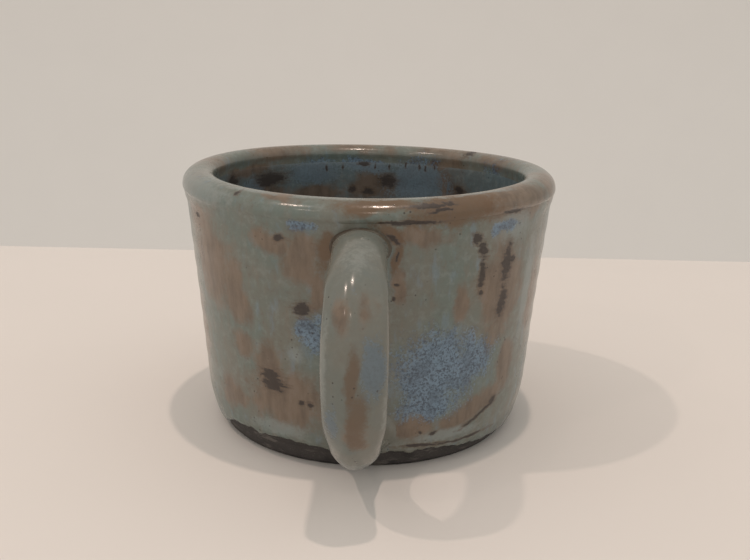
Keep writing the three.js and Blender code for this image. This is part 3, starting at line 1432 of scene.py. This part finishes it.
@dataclass(frozen=True)
class Luting:
    """One ring of slip between an end of the strap and the wall.

    Attributes:
        node: The CAD node that it replaces.
        end: Where it sits: 0 at the top of the strap, 1 at its root.
        spread: How far it spreads over the wall, in millimetres.
        climb: How far it climbs up the strap, as a share of the strap's length.
        root: Where on the strap it leaves the wall, as a share of its length.
        elbow: How far its elbow stands off the strap, in millimetres.
        neck: How far its upper edge does.
        sunk: How far its inner side lies inside the strap.
        steps: Stretches from the wall to the upper edge.
    """

    node: str
    end: float
    spread: float
    climb: float
    root: float = 0.014
    elbow: float = 0.1
    neck: float = 0.03
    sunk: float = 0.5
    steps: int = 12


UPPER_LUTING = Luting("upper_handle_joint", end=0.0, spread=1.1, climb=0.045)
LOWER_LUTING = Luting("lower_handle_joint", end=1.0, spread=2.8, climb=0.075)


@dataclass
class Handle:
    """The pulled strap: clay core, coat and the slip that lutes it to the wall.

    Attributes:
        pot: Outlines of the pot.
        hand: What the potter's hands leave on the wall behind it.
        below_lip: From the crease under the lip to the strap's centre line.
        root_height: Height of the strap's lower end.
        finger_gap: Clear distance from the wall behind the strap's top to the strap.
        grip_thickness: Thickness of the strap where it reaches furthest out.
        grip_rise: How far above the middle of its ends the strap reaches furthest out.
        lean: How far the grip leans out towards its lower end.
        pull_in: How far inside the wall the reach of both bends is measured from.
        top_reach: How far the strap runs out before it turns down.
        top_rise: How far the strap rises as it runs out.
        top_turn: Height over which the top bend turns down.
        lower_turn: Height over which the lower bend begins.
        lower_reach: How far the lower bend runs back to the wall.
        lower_sag: How far the lower bend hangs below its root.
        sunk: How far the strap's ends run into the wall.
        bedding: How far the slip's toe lies under the face of the wall's coat.
        ridge_side: How far off the strap's middle its ridge runs, towards -X.
        ridge_width: Half the ridge's width.
        ridge_hollow: How far the strap is hollowed beside the ridge, as a share of the ridge's height.
        wander: How far the strap's faces wander in and out.
        wander_pace: How quickly they do, per millimetre across and per length of the strap.
        wander_seed: Where in the noise the wander is read.
        rings: How many sections it has.
        around: How many corners each section has.
    """

    pot: PotShape = POT
    hand: ThrowingHand = HAND
    below_lip: float = 6.3
    root_height: float = 11.8
    finger_gap: float = 22.0
    grip_thickness: float = 8.6
    grip_rise: float = 5.0
    lean: float = 0.6
    pull_in: float = 4.0
    top_reach: float = 14.0
    top_rise: float = 1.0
    top_turn: float = 16.0
    lower_turn: float = 17.0
    lower_reach: float = 22.0
    lower_sag: float = 3.0
    sunk: float = 1.2
    bedding: float = 0.25
    ridge_side: float = 1.4
    ridge_width: float = 2.8
    ridge_hollow: float = 0.35
    wander: float = 0.12
    wander_pace: tuple[float, float] = (0.12, 7.0)
    wander_seed: float = 3.7
    rings: int = 150
    around: int = 72

    def __post_init__(self) -> None:
        """Works out the strap's two curves, as (distance from the axis, height)."""
        pot = self.pot
        top = pot.wall_top - self.below_lip
        top_wall = pot.clay_radius(top) + pot.glaze
        root_wall = pot.clay_radius(self.root_height) + pot.glaze
        out = top_wall + self.finger_gap + self.grip_thickness / 2
        grip = (top + self.root_height) / 2 + self.grip_rise
        self.upper = (
            (top_wall - self.sunk, top),
            (top_wall - self.pull_in + self.top_reach, top + self.top_rise),
            (out - self.lean, grip + self.top_turn),
            (out, grip),
        )
        self.lower = (
            (out, grip),
            (out + self.lean, grip - self.lower_turn),
            (root_wall - self.pull_in + self.lower_reach, self.root_height - self.lower_sag),
            (root_wall - self.sunk, self.root_height),
        )

    def build(self) -> None:
        """Builds and dresses the strap and its two joints."""
        glaze = HANDLE_GLAZE.material()
        coat = finished_object("handle_coat", self.strap(0.0), self.hand.shaped)
        coat.data.materials.append(glaze)
        hang(coat, ["handle_glaze"])
        core = finished_object("handle_core", self.strap(-self.pot.glaze), self.hand.shaped)
        core.data.materials.append(ClayFinish("strap_clay").material())
        hang(core, ["handle_strap"])
        for luting, coating in ((UPPER_LUTING, CREVICE_GLAZE_AND_SHADE.material()), (LOWER_LUTING, glaze)):
            joint = finished_object(f"{luting.node}_slip", self.joint(luting), self.hand.shaped)
            joint.data.materials.append(coating)
            hang(joint, [luting.node])

    def centre(self, share: float) -> Vector:
        """Returns the centre line at a share of the strap, as (distance from the axis, height)."""
        held = min(max(share, 0.0), 1.0)
        return bezier(self.upper, held * 2) if held < 0.5 else bezier(self.lower, held * 2 - 1)

    def along(self, share: float) -> Vector:
        """Returns the direction of the centre line at a share of the strap."""
        step = 0.004
        return (self.centre(share + step) - self.centre(share - step)).normalized()

    def station(self, share: float) -> StrapStation:
        """Smooths the strap's size between its stations.

        Args:
            share: How far along the strap.

        Returns:
            The section's size there.
        """
        for first, second in zip(STRAP_STATIONS, STRAP_STATIONS[1:]):
            if share <= second.share:
                part = eased((share - first.share) / (second.share - first.share))
                blend = [
                    getattr(first, name) * (1 - part) + getattr(second, name) * part
                    for name in ("width", "thickness", "ridge")
                ]
                return StrapStation(share, *blend)
        return STRAP_STATIONS[-1]

    def section(self, share: float, grow: float) -> list[Vector]:
        """Returns the corners of one section.

        Args:
            share: How far along the strap it lies.
            grow: How far it is grown, in millimetres.

        Returns:
            Its corners, in the pot's frame.
        """
        middle, along = self.centre(share), self.along(share)
        outward = Vector((along.y, -along.x)) * -1
        station = self.station(share)
        corners = []
        for number in range(self.around):
            angle = math.tau * number / self.around
            across = (station.width / 2 + grow) * math.cos(angle)
            proud = (station.thickness / 2 + grow) * math.sin(angle)
            if proud > 0:
                off_ridge = (across + self.ridge_side) / self.ridge_width
                proud += station.ridge * (math.exp(-(off_ridge**2)) - self.ridge_hollow)
            pace_across, pace_along = self.wander_pace
            spot = Vector((across * pace_across, share * pace_along, self.wander_seed))
            place = middle + outward * (proud + self.wander * noise.noise(spot))
            corners.append(Vector((across, -place.x, place.y)))
        return corners

    def strap(self, grow: float) -> bmesh.types.BMesh:
        """Returns the strap's mesh: a ring that is extruded from section to section and capped.

        Args:
            grow: How far each section is grown, in millimetres.

        Returns:
            A closed mesh in millimetres.
        """
        mesh = bmesh.new()
        ring = bmesh.ops.create_circle(mesh, cap_ends=False, segments=self.around, radius=1.0)["verts"]
        edges = mesh.edges[:]
        for number in range(self.rings + 1):
            if number:
                grown = bmesh.ops.extrude_edge_only(mesh, edges=edges)["geom"]
                fresh = {part for part in grown if isinstance(part, bmesh.types.BMVert)}
                drawn = [part for part in grown if isinstance(part, bmesh.types.BMEdge)]
                edges = [edge for edge in drawn if fresh.issuperset(edge.verts)]
                ring = [
                    next(end for edge in corner.link_edges for end in edge.verts if end in fresh)
                    for corner in ring
                ]
            for vertex, corner in zip(ring, self.section(number / self.rings, grow)):
                vertex.co = corner
        bmesh.ops.holes_fill(mesh, edges=[edge for edge in mesh.edges if edge.is_boundary], sides=0)
        return mesh

    def joint(self, luting: Luting) -> bmesh.types.BMesh:
        """Returns the fillet of slip between the strap and the wall.

        Args:
            luting: Which end it is at, and its sizes.

        Returns:
            A closed ring in millimetres.
        """
        inward = 1 if luting.end == 0 else -1
        root, top = luting.end + inward * luting.root, luting.end + inward * luting.climb
        toe = [self.on_wall(corner) for corner in self.section(root, luting.spread)]
        elbow = [self.on_wall(corner) for corner in self.section(root, luting.elbow)]
        neck = self.section(top, luting.neck)
        rings = []
        for step in range(luting.steps + 1):
            share = step / luting.steps
            weights = ((1 - share) ** 2, 2 * share * (1 - share), share**2)
            rings.append([
                low * weights[0] + middle * weights[1] + high * weights[2]
                for low, middle, high in zip(toe, elbow, neck)
            ])
        rings.append(self.section(top, -luting.sunk))
        rings.append([self.on_wall(corner) for corner in self.section(root, -luting.sunk)])
        mesh = bmesh.new()
        loops = []
        for ring in rings:
            corners = [mesh.verts.new(corner) for corner in ring]
            loops.append([mesh.edges.new(pair) for pair in zip(corners, [*corners[1:], corners[0]])])
        for low, high in zip(loops, [*loops[1:], loops[0]]):
            bmesh.ops.bridge_loops(mesh, edges=low + high)
        return mesh

    def on_wall(self, corner: Vector) -> Vector:
        """Moves a corner straight in or out until it lies just inside the wall's coat.

        Args:
            corner: The corner, in millimetres.

        Returns:
            The moved corner.
        """
        radius = self.pot.clay_radius(corner.z) + self.pot.glaze - self.bedding
        out = math.sqrt(max(radius**2 - corner.x**2, 0.0))
        return Vector((corner.x, -out, corner.z))


# ---------------------------------------------------------------------------------------------------------
# The glazes
# ---------------------------------------------------------------------------------------------------------


OUTSIDE_BLOOMS = (
    Bloom(RUST, -53, 51, 9.5, 12, 8),
    Bloom(RUST, -41, 45, 4.5, 9.0, 14),
    Bloom(RUST, -60, 60, 6.0, 4.0),
    Bloom(RUST, -25, 59, 6.5, 3.6, -30),
    Bloom(RUST, -17, 55, 5.0, 7.5, 16),
    Bloom(RUST, -12, 48, 2.2, 7.0, -8),
    Bloom(RUST, -40, 31, 3.6, 3.4),
    Bloom(RUST, -30, 27, 5.0, 6.5),
    Bloom(RUST, -25, 18.5, 11, 8.0),
    Bloom(RUST, -48, 16, 6.5, 4.2),
    Bloom(RUST, 15, 62, 8.5, 2.6),
    Bloom(RUST, 46, 46, 8.5, 14, -6),
    Bloom(RUST, 30, 44, 2.8, 4.6),
    Bloom(RUST, 11, 50, 1.5, 5.0),
    Bloom(RUST, 39, 14.5, 13, 3.2, 18),
    Bloom(RUST, 18, 12, 5.5, 3.6),
    Bloom(RUST, 53, 24, 4.0, 7.0),
    Bloom(RUST, 68, 40, 5.0, 9.0),
    Bloom(RUST, -70, 30, 5.0, 9.0),
    Bloom(IRON, -17, 43, 1.9, 1.8),
    Bloom(IRON, -29.5, 24.6, 2.9, 1.7),
    Bloom(IRON, -28.5, 22.0, 3.3, 2.0),
    Bloom(IRON, -23, 60.5, 1.4, 0.8, 30),
    Bloom(IRON, -60, 61.5, 1.2, 0.9),
    Bloom(IRON, 33.5, 60.2, 1.6, 1.1, -30),
    Bloom(IRON, 36, 57, 1.2, 2.2, 28),
    Bloom(IRON, 36.5, 51, 0.9, 3.8),
    Bloom(IRON, 37, 46.3, 0.6, 0.7),
    Bloom(IRON, 46.5, 52, 1.7, 5.2),
    Bloom(IRON, 49.5, 53.2, 0.9, 0.8),
    Bloom(IRON, 46.5, 42.5, 1.5, 3.6, -8),
    Bloom(IRON, 44, 12.8, 5.4, 0.5, 24),
    Bloom(IRON, 49, 15.0, 1.5, 1.0, 20),
    Bloom(IRON, -18.5, 18.2, 0.7, 0.6),
    Bloom(IRON, -15.5, 17.8, 0.6, 0.9),
    Bloom(IRON, 20, 10.6, 0.5, 0.5),
    Bloom(IRON, 24.5, 10.0, 0.9, 0.45),
    Bloom(IRON, 21, 6.8, 5.0, 0.45, -2),
    Bloom(IRON, 38, 6.4, 8.0, 0.35, 2),
    Bloom(IRON, 9.2, 46.8, 0.3, 0.6),
    Bloom(IRON, 10.2, 50.4, 0.4, 0.4),
    # Partly iron and amber glaze, partly painted shade: these marks crowd round the strap's top and darken
    # the wall where the strap shades it.
    Bloom(IRON, 9.9, 57.5, 0.35, 1.2),
    Bloom(IRON, 8.8, 61.4, 2.0, 0.6, -35),
    Bloom(AMBER, 7.5, 62.4, 4.0, 2.2, -30),
    Bloom(AMBER, 9.5, 57, 1.4, 4.0),
    Bloom(AMBER, -9.5, 58, 1.8, 5.5, -8),
    Bloom(BLUE, 24, 27, 12, 10.5, 12),
    Bloom(BLUE, 36, 28, 7.5, 6.0),
    Bloom(BLUE, 22, 18, 7.0, 4.5),
    Bloom(BLUE, -15, 37, 3.2, 4.4),
    Bloom(BLUE, 44, 62.5, 5.5, 1.6),
    Bloom(BLUE, -16, 64, 3.4, 1.7),
    Bloom(MILK, -28, 10, 10, 2.4),
    Bloom(MILK, -20, 31, 3.0, 3.0),
    Bloom(MILK, 61, 44, 3.0, 19),
    Bloom(MILK, 30, 9.0, 11, 2.0),
    Bloom(MILK, 48, 62, 9.0, 5.0),
    *Spread(11, (78, 284), (12, 60), {RUST: 22, IRON: 14, BLUE: 8, MILK: 6}).blooms(),
)

DRIP_PLACES = (153, 157, 160, 166, 173, 179, 193, 200)
INSIDE_BLOOMS = facing(
    Face.INSIDE,
    4.0,
    (RUST, 228, 57, 9.0, 3.6),
    (RUST, 204, 55.5, 9.0, 3.2),
    (RUST, 180, 57.5, 9.5, 4.4),
    (RUST, 145, 60, 6.5, 4.0),
    (RUST, 240, 65, 12, 2.0),
    (RUST, 150, 65.5, 5, 1.4),
    (IRON, 226, 61.5, 5.4, 2.0),
    (IRON, 250, 62.5, 3.0, 2.0),
    (IRON, 173.5, 59.5, 2.4, 2.0),
    (IRON, 182, 56, 1.7, 1.1),
    (IRON, 189, 56.5, 1.1, 0.8),
    (IRON, 140, 58.5, 1.6, 1.2),
    (IRON, 184, 64.6, 1.6, 0.5),
    *((IRON, around, 64.2 + 0.7 * math.sin(around), 0.3, 0.8) for around in DRIP_PLACES),
    (BLUE, 206, 62.5, 9.0, 3.4),
    (BLUE, 160, 59.5, 11, 6.5),
    (BLUE, 182, 63.6, 9.0, 2.2),
    (BLUE, 236, 58, 5.0, 4.0),
)

# Partly pale milky glaze, partly a painted highlight: a pale band along the lip's crest, only round the
# front of the pot.
CREST_MILK_AND_HIGHLIGHT = facing(
    Face.CREST,
    1.1,
    (MILK, -34, 70.4, 11, 1.6),
    (MILK, -9, 70.4, 11, 1.6),
    (MILK, 14, 70.4, 11, 1.6),
    (MILK, 38, 70.4, 11, 1.6),
)

LIP_BLOOMS = (
    Bloom(AMBER, 6, 69.2, 11, 2.2),
    Bloom(AMBER, 26, 68, 13, 4.2),
    Bloom(RUST, 50, 68, 14, 4.5),
    Bloom(RUST, -24, 69.8, 6.0, 1.0),
    Bloom(RUST, 76, 68, 9.0, 4.5),
    Bloom(RUST, 120, 69, 12, 3.5),
    Bloom(RUST, 150, 69.4, 14, 3.0),
    Bloom(RUST, 187, 69.4, 16, 3.0),
    Bloom(RUST, 222, 69.4, 15, 3.0),
    Bloom(RUST, 262, 68.5, 9.0, 3.5),
    Bloom(IRON, 17, 69.0, 4.5, 0.5),
    Bloom(IRON, 21, 68.0, 3.0, 0.45, 8),
    Bloom(IRON, 24, 69.3, 2.0, 0.4, -6),
    # Painted shade: these two thin iron lines lie in the crease under the lip, where it is in shadow.
    Bloom(IRON, 13, 65.3, 6.5, 0.55),
    Bloom(IRON, 47, 65.6, 4.0, 0.6),
    Bloom(IRON, -38, 69.5, 0.7, 0.5),
    Bloom(IRON, 138, 69.8, 2.0, 0.9),
    Bloom(MILK, -62, 68, 22, 4.0),
)

# Partly pale milky glaze, partly painted light: the two milk blooms over the strap's top bend, at 62.5 and
# 61 mm, make the top that faces the lamps paler.
STRAP_BLOOMS = facing(Face.STRAP, 22.0, (MILK, 0.0, 62.5, 9.0, 5.0)) + facing(
    Face.STRAP,
    6.0,
    (RUST, 1.9, 57, 1.9, 7.5, -4),
    (RUST, -2.4, 52.8, 2.4, 4.8, 8),
    (RUST, 3.8, 55, 1.6, 3.2),
    (AMBER, -0.1, 38, 1.5, 6.5, -3),
    (AMBER, 0.8, 27, 2.3, 9.0, -4),
    (RUST, 0.8, 23, 3.4, 6.0),
    (RUST, 0.0, 12, 3.0, 2.6),
    (BLUE, 3.2, 40, 2.6, 7.5),
    (BLUE, -0.3, 58, 1.6, 2.2),
    (BLUE, -3.8, 26, 1.8, 6.0),
    (MILK, -4.9, 42, 1.3, 20.0),
    (MILK, 4.9, 27, 1.2, 9.0),
    # Painted light in part: pale milk over the strap's top bend, where it faces the lamps.
    (MILK, 0.2, 61, 8.0, 7.0),
)

HIDDEN_INSIDE = tuple(
    replace(bloom, face=Face.INSIDE, deep=4.0)
    for spread in (
        Spread(5, (70, 290), (16, 50), {RUST: 7, IRON: 4, BLUE: 9}),
        Spread(8, (-70, 70), (16, 62), {RUST: 7, IRON: 4, BLUE: 6}),
    )
    for bloom in spread.blooms()
)

GREEN, GREEN_SHADE = (0.138, 0.17, 0.152), (0.163, 0.167, 0.142)
RIM_BLOOMS = (*OUTSIDE_BLOOMS, *LIP_BLOOMS, *INSIDE_BLOOMS, *CREST_MILK_AND_HIGHLIGHT)
NEAR_LIP = tuple(bloom for bloom in RIM_BLOOMS if bloom.height + 2 * bloom.tall > POT.wall_top - 3)
OUTSIDE_GLAZE = GlazeFinish("outside_glaze", GREEN, GREEN_SHADE, (*OUTSIDE_BLOOMS, *LIP_BLOOMS))
LIP_GLAZE = GlazeFinish("lip_glaze", GREEN, GREEN_SHADE, NEAR_LIP, gloss=0.17)
LINER_GLAZE = GlazeFinish(
    "liner_glaze",
    ground=(0.118, 0.158, 0.172),
    shade=(0.112, 0.135, 0.14),
    blooms=(*INSIDE_BLOOMS, *HIDDEN_INSIDE),
    rust=(0.145, 0.104, 0.076),
    rust_deep=(0.085, 0.062, 0.046),
    blue=(0.128, 0.182, 0.228),
    blue_deep=(0.092, 0.126, 0.158),
)
HANDLE_GLAZE = GlazeFinish(
    "handle_glaze",
    ground=(0.142, 0.158, 0.142),
    shade=(0.158, 0.158, 0.135),
    blooms=STRAP_BLOOMS,
    amber=(0.125, 0.085, 0.055),
    blue=(0.122, 0.168, 0.205),
    blue_deep=(0.098, 0.134, 0.165),
    milk=(0.25, 0.27, 0.255),
    gloss=0.17,
    mottle=0.1,
    streaks=0.08,
    wobble=1.1,
    wave=0.03,
    peel=0.006,
)
# Dark brown glaze on the slip at the strap's top, partly painted shade: it darkens the crevice where the
# strap meets the wall.
CREVICE_GLAZE_AND_SHADE = replace(
    HANDLE_GLAZE,
    name="crevice_glaze_and_shade",
    ground=(0.1, 0.084, 0.064),
    shade=(0.066, 0.053, 0.04),
    blooms=(),
    mottle=0.3,
    gloss=0.34,
)


# ---------------------------------------------------------------------------------------------------------
# The studio
# ---------------------------------------------------------------------------------------------------------


LAMP_AIM = 35 * MM


@dataclass(frozen=True)
class Lamp:
    """A round lamp that shines at the mug.

    Attributes:
        name: Its name.
        around: Degrees round the pot from the handle, towards +X.
        raised: Degrees above the table.
        distance: Distance from the pot, in metres.
        size: Diameter, in metres.
        power: Power, in watts.
        colour: Colour of its light.
    """

    name: str
    around: float
    raised: float
    distance: float
    size: float
    power: float
    colour: Colour = (1.0, 0.8, 0.69)

    def build(self) -> None:
        """Adds the lamp to the scene."""
        light = bpy.data.lights.new(self.name, "AREA")
        light.shape = "DISK"
        light.size = self.size
        light.energy = self.power
        light.color = self.colour
        turn, tilt = math.radians(self.around), math.radians(self.raised)
        away = Vector((math.sin(turn) * math.cos(tilt), -math.cos(turn) * math.cos(tilt), math.sin(tilt)))
        lamp = bpy.data.objects.new(self.name, light)
        lamp.location = away * self.distance + Vector((0, 0, LAMP_AIM))
        lamp.rotation_mode = "QUATERNION"
        lamp.rotation_quaternion = away.to_track_quat("Z", "Y")
        bpy.context.scene.collection.objects.link(lamp)


@dataclass
class Studio:
    """The table, the wall behind it, the lamps and the camera.

    Attributes:
        table_reach: How far the table runs behind the pot, in metres.
        table_front: How far it runs in front of it.
        table_width: Its width.
        table: Its finish.
        wall_distance: How far behind the pot the wall stands.
        wall_size: Width and height of the wall.
        wall: Its finish.
        room_colour: Colour of the light from all round.
        room_strength: Strength of that light.
        camera_side: Degrees that the camera stands round from the handle.
        camera_distance: Distance of the camera in front of the pot's axis, in metres.
        camera_height: Height of the camera over the table.
        camera_pitch: Degrees that it looks down.
        camera_yaw: Degrees that it looks to the right of the pot's axis.
        camera_roll: Degrees that it is rolled.
        lens: Focal length, in millimetres.
        sensor: Width of the camera's sensor.
        clip_start: Distance from which the camera sees, in metres.
        lamps: The lamps.
    """

    table_reach: float = 0.187
    table_front: float = 3.0
    table_width: float = 4.0
    table: PlainFinish = PlainFinish("table_top", (0.80, 0.765, 0.735))
    wall_distance: float = 1.4
    wall_size: tuple[float, float] = (8.0, 5.0)
    wall: PlainFinish = PlainFinish("painted_wall", (0.74, 0.71, 0.68), glow=0.05)
    room_colour: Colour = (0.65, 0.63, 0.59)
    room_strength: float = 1.0
    camera_side: float = 1.9
    camera_distance: float = 0.2735
    camera_height: float = 0.113
    camera_pitch: float = 15.27
    camera_yaw: float = 0.46
    camera_roll: float = 0.89
    lens: float = 48.3
    sensor: float = 36.0
    clip_start: float = 0.01
    lamps: tuple[Lamp, ...] = (
        Lamp("side_lamp", -71.5, 59.5, 1.5, 0.045, 2.9),
        Lamp("ceiling_lamp", 45, 84.3, 1.5, 0.045, 4.3),
        Lamp("window_glint_right", 4, 41, 1.2, 0.05, 0.35),
        Lamp("window_glint_left", -42, 39, 1.2, 0.05, 0.35),
    )

    def build(self) -> None:
        """Builds the studio and points the camera."""
        self.surfaces()
        self.room()
        for lamp in self.lamps:
            lamp.build()
        self.camera()

    def surfaces(self) -> None:
        """Adds the table and the wall."""
        table = self.panel("table", self.table_width, self.table_front + self.table_reach)
        table.data.transform(Matrix.Translation((0, (self.table_reach - self.table_front) / 2, 0)))
        table.data.materials.append(self.table.material())
        wall = self.panel("backdrop", *self.wall_size)
        wall.data.transform(Matrix.Rotation(math.radians(90), 4, "X"))
        wall.data.transform(Matrix.Translation((0, self.wall_distance, 0)))
        wall.data.materials.append(self.wall.material())

    def panel(self, name: str, width: float, length: float) -> bpy.types.Object:
        """Returns a flat panel.

        Args:
            name: Its name.
            width: Its size along X, in metres.
            length: Its size along Y.

        Returns:
            The panel, centred on the origin.
        """
        mesh = bmesh.new()
        bmesh.ops.create_grid(mesh, x_segments=1, y_segments=1, size=0.5)
        bmesh.ops.scale(mesh, vec=(width, length, 1), verts=mesh.verts[:])
        data = bpy.data.meshes.new(name)
        mesh.to_mesh(data)
        mesh.free()
        made = bpy.data.objects.new(name, data)
        bpy.context.scene.collection.objects.link(made)
        return made

    def room(self) -> None:
        """Sets the even light of the room."""
        world = bpy.data.worlds.new("room")
        world.use_nodes = True
        background = world.node_tree.nodes["Background"]
        background.inputs["Color"].default_value = (*self.room_colour, 1.0)
        background.inputs["Strength"].default_value = self.room_strength
        bpy.context.scene.world = world
        bpy.context.scene.view_settings.view_transform = "Standard"

    def camera(self) -> None:
        """Adds the camera."""
        pitch, yaw = math.radians(self.camera_pitch), math.radians(self.camera_yaw)
        ahead = Vector((math.sin(yaw) * math.cos(pitch), math.cos(yaw) * math.cos(pitch), -math.sin(pitch)))
        side = Vector((math.cos(yaw), -math.sin(yaw), 0))
        turn = Matrix((side, side.cross(ahead), -ahead)).transposed()
        roll = Matrix.Rotation(math.radians(self.camera_roll), 3, "Z")
        swing = Matrix.Rotation(math.radians(self.camera_side), 3, "Z")
        data = bpy.data.cameras.new("camera")
        data.lens = self.lens
        data.sensor_width = self.sensor
        data.clip_start = self.clip_start
        camera = bpy.data.objects.new("camera", data)
        camera.rotation_mode = "QUATERNION"
        camera.rotation_quaternion = (swing @ turn @ roll).to_quaternion()
        camera.location = swing @ Vector((0, -self.camera_distance, self.camera_height))
        bpy.context.scene.collection.objects.link(camera)
        bpy.context.scene.camera = camera


def main() -> None:
    """Builds the studio and the mug, piece by piece."""
    logging.basicConfig(level=logging.INFO, format="%(name)s: %(message)s")
    Studio().build()
    LOG.info("studio ready")
    ThrownBody().build()
    GlazeCoats().build()
    Handle().build()


if __name__ == "__main__":
    main()
